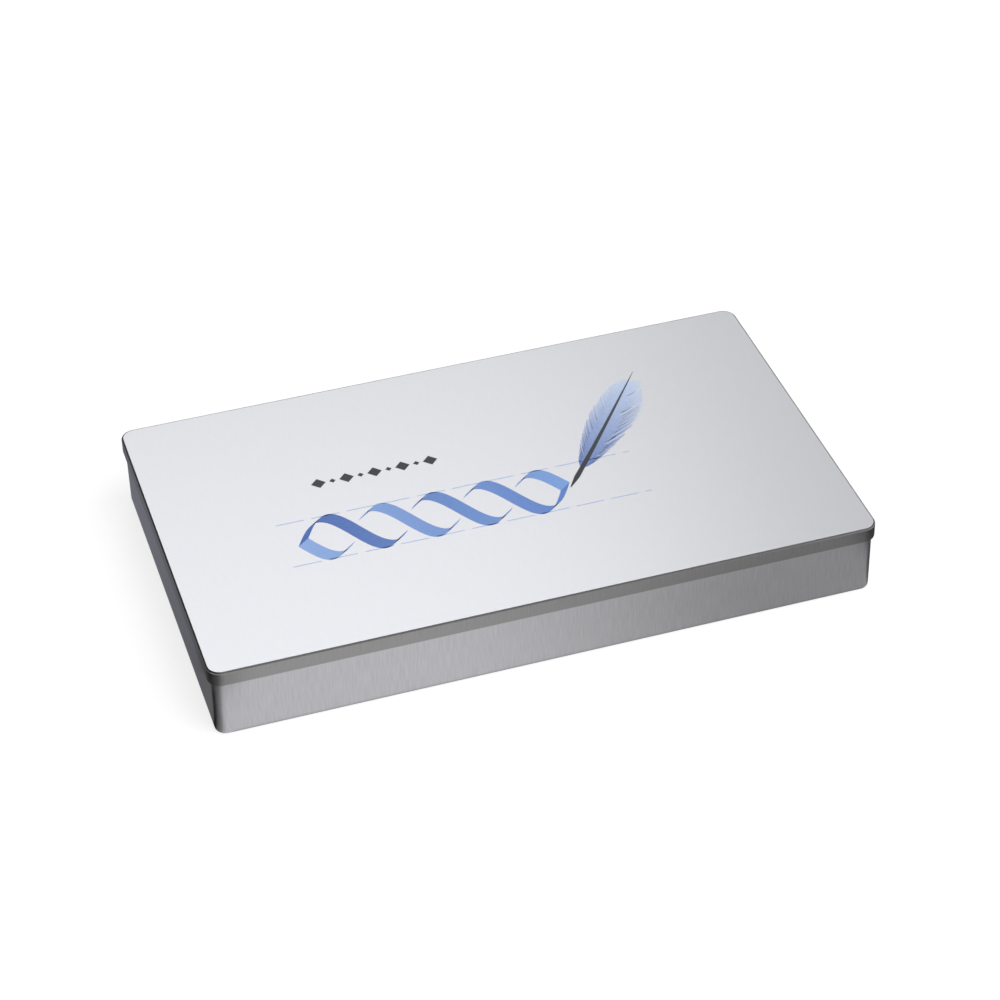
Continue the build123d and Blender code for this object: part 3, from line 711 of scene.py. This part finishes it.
# the lid's print: a twined ribbon between ruled guide lines, the quill that ends it, and a row of
# lozenges
lidPrint = {
    "piece": "lid_print",
    "body": "lid",
    "slot": "lacquered_tinplate",
    "ribbon": {
        "start": (-64 * mm, -12 * mm),
        "wave": 34 * mm,
        "halfTurns": 5,
        "height": 19 * mm,
        "width": 5.0 * mm,
        "penAngle": 38.0,
        "underGap": 3.7 * mm,
        "stepsPerHalfTurn": 36,
        "colours": (("#3F66B4", "#7FA6E4"), ("#8FB0E8", "#5C84CE")),
    },
    "guides": {
        "x": (-70 * mm, 46 * mm),
        "rise": 10.6 * mm,
        "width": 0.32 * mm,
        "dash": 9 * mm,
        "gap": 2.4 * mm,
        "colour": "#9DBBEA",
    },
    "quill": {
        "tip": (22.5 * mm, -13 * mm),
        "bow": (34 * mm, 1 * mm),
        "top": (62 * mm, 39 * mm),
        "shaftWidth": 1.9 * mm,
        "shaftSteps": 40,
        "shaftTaper": 0.6,
        "shaftHair": 0.01,  # what the taper leaves of the shaft at its top
        "nibWidth": 0.12,  # share of the shaft's width at the cut tip
        "nibSlope": 6.0,
        "vaneStart": 0.24,
        "vaneEnd": 0.9,
        "vaneWidth": (12.5 * mm, 15.5 * mm),
        # the vane's outline: how much of half a wave it takes, where it starts on it, and how full it is
        "vaneArch": 1.04,
        "vaneRise": 0.05,
        "vaneFullness": 0.55,
        "barbs": 76,
        "barbCover": 1.02,
        "barbLean": 33.0,
        "barbBend": 0.12,
        "barbLengths": (0.9, 1.04),
        "barbSkew": 0.97,
        "barbTip": 0.5,
        "rootGap": 0.05 * mm,  # between a barb and the middle of the shaft, which covers it
        "splitShare": 0.05,  # of the barbs, those that are short and leave a split in the vane
        "splitLength": 0.72,
        "seed": 7,
        "vaneColours": ("#3A60B0", "#CFE0FB"),
        "shaftColours": ("#26282D", "#4A4E57"),
    },
    "lozenges": {
        "x": -52 * mm,
        "y": 15 * mm,
        "spacing": 4.6 * mm,
        "sizes": (3.4 * mm, 1.5 * mm),
        "angle": 45.0,
        "count": 9,
        "colour": "#2B2D32",
    },
}


def printLid():
    topZ = cadBox[1][2]
    printRibbon(lidPrint, topZ, "blueOffsetInk", "paleBlueOffsetInk")
    quill = lidPrint["quill"]
    shaft, barbs = quillStrips(quill)
    vaneInk = offsetInk("fadingBlueOffsetInk", quill["vaneColours"], quill["tip"], quill["top"])
    printFilm(lidPrint, "quill_vane", barbs, topZ, vaneInk)
    shaftInk = offsetInk("charcoalFadingInk", quill["shaftColours"], quill["tip"], quill["top"])
    printFilm(lidPrint, "quill_shaft", shaft, topZ + inkFilm, shaftInk)
    printLozenges(lidPrint, topZ, "charcoalOffsetInk")


printLid()
print("lid printed")

# the tray: black polystyrene, vacuum formed over a grained mould, so matt and softly uneven
trayPlastic = {
    "colour": "#232427",
    "thinColour": "#2B2C30",  # where the sheet was drawn thin
    "roughness": (0.42, 0.58),
    "grain": 0.45,  # mm; real mould grain is nearer 0.15, too fine to show
    "grainDepth": 0.02,  # mm
    "drawn": 14.0,  # mm between thick and thin places
    "drawnDepth": 0.05,  # mm
    "ior": 1.59,
}


def formedPolystyrene(name, look):
    material, tree = newMaterial(name)
    place = addNode(tree, "ShaderNodeTexCoord").outputs["Object"]
    grain = addNode(tree, "ShaderNodeTexNoise", {
        "Vector": place, "Scale": 1 / (look["grain"] * mm), "Detail": 2.0})
    drawn = addNode(tree, "ShaderNodeTexNoise", {
        "Vector": place, "Scale": 1 / (look["drawn"] * mm), "Detail": 2.0})
    colour = addNode(tree, "ShaderNodeMix", {
        0: drawn.outputs["Fac"], 6: look["colour"], 7: look["thinColour"]}, data_type="RGBA")
    roughness = addNode(tree, "ShaderNodeMapRange", {
        "Value": grain.outputs["Fac"], "To Min": look["roughness"][0], "To Max": look["roughness"][1]})
    waves = addNode(tree, "ShaderNodeBump", {
        "Distance": look["drawnDepth"] * mm, "Height": drawn.outputs["Fac"]})
    bump = addNode(tree, "ShaderNodeBump", {
        "Distance": look["grainDepth"] * mm, "Height": grain.outputs["Fac"], "Normal": waves})
    finishMaterial(tree, addNode(tree, "ShaderNodeBsdfPrincipled", {
        "Base Color": colour, "Roughness": roughness, "IOR": look["ior"], "Normal": bump}))
    return material


dress(["tray"], formedPolystyrene("vacuumFormedPolystyrene", trayPlastic))

# the pen's cap, barrel and grip: dark blue ABS, injection moulded and polished, so deep and glossy
# with a faint swell in its reflections
penPlastic = {
    "colour": "#101B33",
    "roughness": (0.07, 0.13),
    "swell": 9.0,  # mm
    "swellDepth": 0.008,  # mm
    "scuff": 0.5,  # mm
    "polish": 0.6,
    "ior": 1.54,
}

# the feed and the inner cap: the same plastic in black, unpolished, so matt
feedPlastic = {
    "colour": "#141416",
    "roughness": (0.38, 0.5),
    "swell": 2.0,
    "swellDepth": 0.004,
    "scuff": 0.3,
    "polish": 0.0,
    "ior": 1.54,
}

# the cartridges' seals: plain milky polythene, dull and slightly wavy
sealPlastic = {
    "colour": "#DDDFDC",
    "roughness": (0.35, 0.5),
    "swell": 0.8,
    "swellDepth": 0.01,
    "scuff": 0.3,
    "polish": 0.0,
    "ior": 1.54,
}
polishRoughness = 0.05
scuffContrast = (0.35, 0.65)  # of the noise, what shows as the smoothest and roughest scuffs


def mouldedPlastic(name, look):
    material, tree = newMaterial(name)
    place = addNode(tree, "ShaderNodeTexCoord").outputs["Object"]
    swell = addNode(tree, "ShaderNodeTexNoise", {
        "Vector": place, "Scale": 1 / (look["swell"] * mm), "Detail": 1.0})
    scuff = addNode(tree, "ShaderNodeTexNoise", {
        "Vector": place, "Scale": 1 / (look["scuff"] * mm), "Detail": 5.0, "Roughness": 0.7})
    roughness = addNode(tree, "ShaderNodeMapRange", {
        "Value": scuff.outputs["Fac"], "From Min": scuffContrast[0], "From Max": scuffContrast[1],
        "To Min": look["roughness"][0], "To Max": look["roughness"][1]})
    bump = addNode(tree, "ShaderNodeBump", {
        "Distance": look["swellDepth"] * mm, "Height": swell.outputs["Fac"]})
    finishMaterial(tree, addNode(tree, "ShaderNodeBsdfPrincipled", {
        "Base Color": look["colour"], "Roughness": roughness, "IOR": look["ior"], "Normal": bump,
        "Coat Weight": look["polish"], "Coat Roughness": polishRoughness}))
    return material


dress(["pen_cap", "pen_barrel", "pen_section"], mouldedPlastic("polishedDarkBlueABS", penPlastic))
dress(["pen_feed", "pen_inner_cap"], mouldedPlastic("mattBlackABS", feedPlastic))
dress(["cartridge_seals"], mouldedPlastic("milkyPolythene", sealPlastic))

# the clip, finial and ring: chromed steel, near mirror with the faintest haze
chromedSteel = {
    "colour": "#C6C8CB",
    "roughness": (0.06, 0.14),
    "marks": (0.8, 0.8, 0.8),  # mm, the size of its marks along X, Y and Z
    "depth": 0.002,  # mm
    "anisotropy": 0.0,
}

# the nibs: stainless steel, ground along their length, so satin with a stretched sheen
satinSteel = {
    "colour": "#BDBBB6",
    "roughness": (0.20, 0.34),
    "marks": (6.0, 0.18, 0.18),
    "depth": 0.003,
    "anisotropy": 0.4,
}

# the staples: drawn galvanised wire, grey and dull
stapleWire = {
    "colour": "#A9ABAD",
    "roughness": (0.30, 0.45),
    "marks": (0.5, 0.5, 0.5),
    "depth": 0.006,
    "anisotropy": 0.0,
}
markContrast = (0.3, 0.7)  # of the noise, what shows as the smoothest and roughest marks


def steel(name, look):
    material, tree = newMaterial(name)
    place = addNode(tree, "ShaderNodeTexCoord").outputs["Object"]
    stretched = addNode(tree, "ShaderNodeVectorMath", {
        0: place, 1: [1 / (length * mm) for length in look["marks"]]}, operation="MULTIPLY")
    marks = addNode(tree, "ShaderNodeTexNoise", {"Vector": stretched, "Scale": 1.0, "Detail": 3.0})
    roughness = addNode(tree, "ShaderNodeMapRange", {
        "Value": marks.outputs["Fac"], "From Min": markContrast[0], "From Max": markContrast[1],
        "To Min": look["roughness"][0], "To Max": look["roughness"][1]})
    bump = addNode(tree, "ShaderNodeBump", {"Distance": look["depth"] * mm, "Height": marks.outputs["Fac"]})
    grainWay = addNode(tree, "ShaderNodeCombineXYZ", {"X": 1.0})
    finishMaterial(tree, addNode(tree, "ShaderNodeBsdfPrincipled", {
        "Base Color": look["colour"], "Metallic": 1.0, "Roughness": roughness, "Normal": bump,
        "Anisotropic": look["anisotropy"], "Tangent": grainWay}))
    return material


dress(["pen_clip", "pen_cap_finial", "pen_trim_ring"], steel("chromedSteel", chromedSteel))
dress(["pen_nib", "spare_nib_medium", "spare_nib_broad"], steel("satinStainlessSteel", satinSteel))
dress(["booklet_staples"], steel("galvanisedWire", stapleWire))

# ink cartridges: thin clear polypropylene full of royal blue ink, with the air lying along the top,
# where the wall shows milky with a film of ink
cartridge = {
    "inkColour": "#14277A",
    "filmColour": "#6F89CC",
    "clearColour": "#9FB2DE",
    "inkLevel": 0.72,  # share of the cartridge's height that the ink fills
    "levelSwing": 0.03,
    "levelFade": 0.06,
    "filmSize": (22.0, 3.0, 3.0),  # mm, of the stains that the ink leaves on the wall
    "filmContrast": (0.35, 0.62),  # of the noise, what shows as stained and as clear
    "neckClear": (3.25, 6.5),  # mm of neck that shows clear plastic, fully and in part
    "wallDepth": 0.03,  # mm
    "roughness": (0.16, 0.28),
    "ior": 1.49,
    "milkiness": 0.25,
    "milkColour": (0.4, 0.7, 1.0),  # how far red, green and blue go in the wall
    "milkDepth": 1.5,  # mm
    "gloss": 0.3,
    "glossRoughness": 0.1,
}


def filledCartridge(name, look, box):
    low, high = box
    material, tree = newMaterial(name)
    place = addNode(tree, "ShaderNodeTexCoord").outputs["Object"]
    way = addNode(tree, "ShaderNodeSeparateXYZ", {"Vector": place})
    stretched = addNode(tree, "ShaderNodeVectorMath", {
        0: place, 1: [1 / (length * mm) for length in look["filmSize"]]}, operation="MULTIPLY")
    film = addNode(tree, "ShaderNodeTexNoise", {"Vector": stretched, "Scale": 1.0, "Detail": 2.0})
    swing = addNode(tree, "ShaderNodeMapRange", {
        "Value": film.outputs["Fac"], "To Min": -look["levelSwing"], "To Max": look["levelSwing"]})
    height = addNode(tree, "ShaderNodeMapRange", {
        "Value": way.outputs["Z"], "From Min": low.z, "From Max": high.z})
    surface = addNode(tree, "ShaderNodeMath", {0: height, 1: swing}, operation="ADD")
    overInk = addNode(tree, "ShaderNodeMapRange", {
        "Value": surface, "From Min": look["inkLevel"], "From Max": look["inkLevel"] + look["levelFade"],
    }, interpolation_type="SMOOTHSTEP")
    stain = addNode(tree, "ShaderNodeMapRange", {
        "Value": film.outputs["Fac"],
        "From Min": look["filmContrast"][0], "From Max": look["filmContrast"][1]})
    air = addNode(tree, "ShaderNodeMix", {
        0: stain, 6: look["filmColour"], 7: look["clearColour"]}, data_type="RGBA")
    body = addNode(tree, "ShaderNodeMix", {0: overInk, 6: look["inkColour"], 7: air}, data_type="RGBA")
    fully, partly = look["neckClear"]
    onNeck = addNode(tree, "ShaderNodeMapRange", {
        "Value": way.outputs["X"], "From Min": low.x + fully * mm, "From Max": low.x + partly * mm,
        "To Min": 1.0, "To Max": 0.0})
    colour = addNode(tree, "ShaderNodeMix", {
        0: onNeck, 6: body, 7: look["filmColour"]}, data_type="RGBA")
    roughness = addNode(tree, "ShaderNodeMapRange", {
        "Value": film.outputs["Fac"], "To Min": look["roughness"][0], "To Max": look["roughness"][1]})
    bump = addNode(tree, "ShaderNodeBump", {
        "Distance": look["wallDepth"] * mm, "Height": film.outputs["Fac"]})
    finishMaterial(tree, addNode(tree, "ShaderNodeBsdfPrincipled", {
        "Base Color": colour, "Roughness": roughness, "IOR": look["ior"], "Normal": bump,
        "Subsurface Weight": look["milkiness"], "Subsurface Radius": look["milkColour"],
        "Subsurface Scale": look["milkDepth"] * mm,
        "Coat Weight": look["gloss"], "Coat Roughness": look["glossRoughness"]}))
    return material


cartridges = sorted(name for name in tinNodes if "cartridge" in name and "seals" not in name)
for name in cartridges:
    dress([name], filledCartridge(name + "Polypropylene", cartridge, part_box(name)))
print("tray, pen, nibs and cartridges dressed")

# the booklet's cover: coated card, smooth and slightly glossy, its fibres just felt through the clay
coverCard = {
    "colour": "#EEF0F3",
    "fibreColour": "#E6E8EC",
    "fibre": 0.35,  # mm
    "fibreDepth": 0.01,  # mm
    "fibreBump": 0.4,
    "roughness": (0.3, 0.42),
    "ior": 1.5,
    "gloss": 0.2,
    "glossRoughness": 0.25,
}


def coatedCard(name, look):
    material, tree = newMaterial(name)
    place = addNode(tree, "ShaderNodeTexCoord").outputs["Object"]
    fibre = addNode(tree, "ShaderNodeTexNoise", {
        "Vector": place, "Scale": 1 / (look["fibre"] * mm), "Detail": 4.0, "Roughness": 0.7})
    colour = addNode(tree, "ShaderNodeMix", {
        0: fibre.outputs["Fac"], 6: look["colour"], 7: look["fibreColour"]}, data_type="RGBA")
    roughness = addNode(tree, "ShaderNodeMapRange", {
        "Value": fibre.outputs["Fac"], "To Min": look["roughness"][0], "To Max": look["roughness"][1]})
    bump = addNode(tree, "ShaderNodeBump", {
        "Strength": look["fibreBump"], "Distance": look["fibreDepth"] * mm,
        "Height": fibre.outputs["Fac"]})
    finishMaterial(tree, addNode(tree, "ShaderNodeBsdfPrincipled", {
        "Base Color": colour, "Roughness": roughness, "IOR": look["ior"], "Normal": bump,
        "Coat Weight": look["gloss"], "Coat Roughness": look["glossRoughness"]}))
    return material


# its pages: uncoated paper, quite matt, whose edges show as fine lines
pagePaper = {
    "colour": "#F1EEE6",
    "gapColour": "#CFCBC0",
    "sheet": 0.24,  # mm between lines; real sheets are nearer 0.1, too fine to show
    "waver": 8.0,  # mm
    "waverHeight": 0.05,  # mm
    "gapStart": 0.2,  # how high on each sheet's wave the gap begins to show
    "gapDepth": 0.04,  # mm
    "roughness": 0.85,
}


def uncoatedPages(name, look):
    material, tree = newMaterial(name)
    place = addNode(tree, "ShaderNodeTexCoord").outputs["Object"]
    height = addNode(tree, "ShaderNodeSeparateXYZ", {"Vector": place})
    waver = addNode(tree, "ShaderNodeTexNoise", {
        "Vector": place, "Scale": 1 / (look["waver"] * mm), "Detail": 2.0})
    wavy = addNode(tree, "ShaderNodeMapRange", {
        "Value": waver.outputs["Fac"],
        "To Min": -look["waverHeight"] * mm, "To Max": look["waverHeight"] * mm})
    level = addNode(tree, "ShaderNodeMath", {0: height.outputs["Z"], 1: wavy}, operation="ADD")
    turn = addNode(tree, "ShaderNodeMath", {
        0: level, 1: 2 * math.pi / (look["sheet"] * mm)}, operation="MULTIPLY")
    wave = addNode(tree, "ShaderNodeMath", {0: turn}, operation="SINE")
    gap = addNode(tree, "ShaderNodeMapRange", {
        "Value": wave, "From Min": look["gapStart"], "From Max": 1.0})
    colour = addNode(tree, "ShaderNodeMix", {
        0: gap, 6: look["colour"], 7: look["gapColour"]}, data_type="RGBA")
    bump = addNode(tree, "ShaderNodeBump", {"Distance": look["gapDepth"] * mm, "Height": wave})
    finishMaterial(tree, addNode(tree, "ShaderNodeBsdfPrincipled", {
        "Base Color": colour, "Roughness": look["roughness"], "Normal": bump}))
    return material


dress(["booklet_cover"], coatedCard("coatedCard", coverCard))
dress(["booklet_pages"], uncoatedPages("uncoatedPaper", pagePaper))

# the cover's print: a blue band by the fold and the lid's ribbon again, smaller, with lozenges
coverPrint = {
    "piece": "booklet_print",
    "body": "base",
    "slot": "cover_card",
    "band": {
        "width": 17 * mm,
        "edge": 2.0 * mm,  # of bare card at both ends of the band
        "colours": ("#2F569F", "#7FA3DE"),
    },
    "ribbon": {
        "start": (-66 * mm, -12 * mm),
        "wave": 21 * mm,
        "halfTurns": 6,
        "height": 13 * mm,
        "width": 3.4 * mm,
        "penAngle": 38.0,
        "underGap": 2.5 * mm,
        "stepsPerHalfTurn": 24,
        "colours": (("#3F66B4", "#6E97DC"), ("#8FB0E8", "#5C84CE")),
    },
    "guides": {
        "x": (-70 * mm, 1 * mm),
        "rise": 7.6 * mm,
        "width": 0.3 * mm,
        "dash": 6 * mm,
        "gap": 1.6 * mm,
        "colour": "#9DBBEA",
    },
    "lozenges": {
        "x": -48 * mm,
        "y": -33 * mm,
        "spacing": 6.2 * mm,
        "sizes": (3.0 * mm, 1.4 * mm),
        "angle": 45.0,
        "count": 7,
        "colour": "#2B2D32",
    },
}


def printCover():
    low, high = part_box("booklet_cover")
    band = coverPrint["band"]
    left, near = low.x + high.z - low.z, low.y + band["edge"]
    right, far = left + band["width"], high.y - band["edge"]
    strip = [((left, near), (right, near)), ((left, far), (right, far))]
    bandInk = offsetInk("fadingBlueBandInk", band["colours"], (left, near), (left, far))
    printFilm(coverPrint, "band", [strip], high.z, bandInk)
    printRibbon(coverPrint, high.z, "coverBlueInk", "coverPaleBlueInk")
    printLozenges(coverPrint, high.z, "coverCharcoalInk")


printCover()
print("booklet dressed and printed")
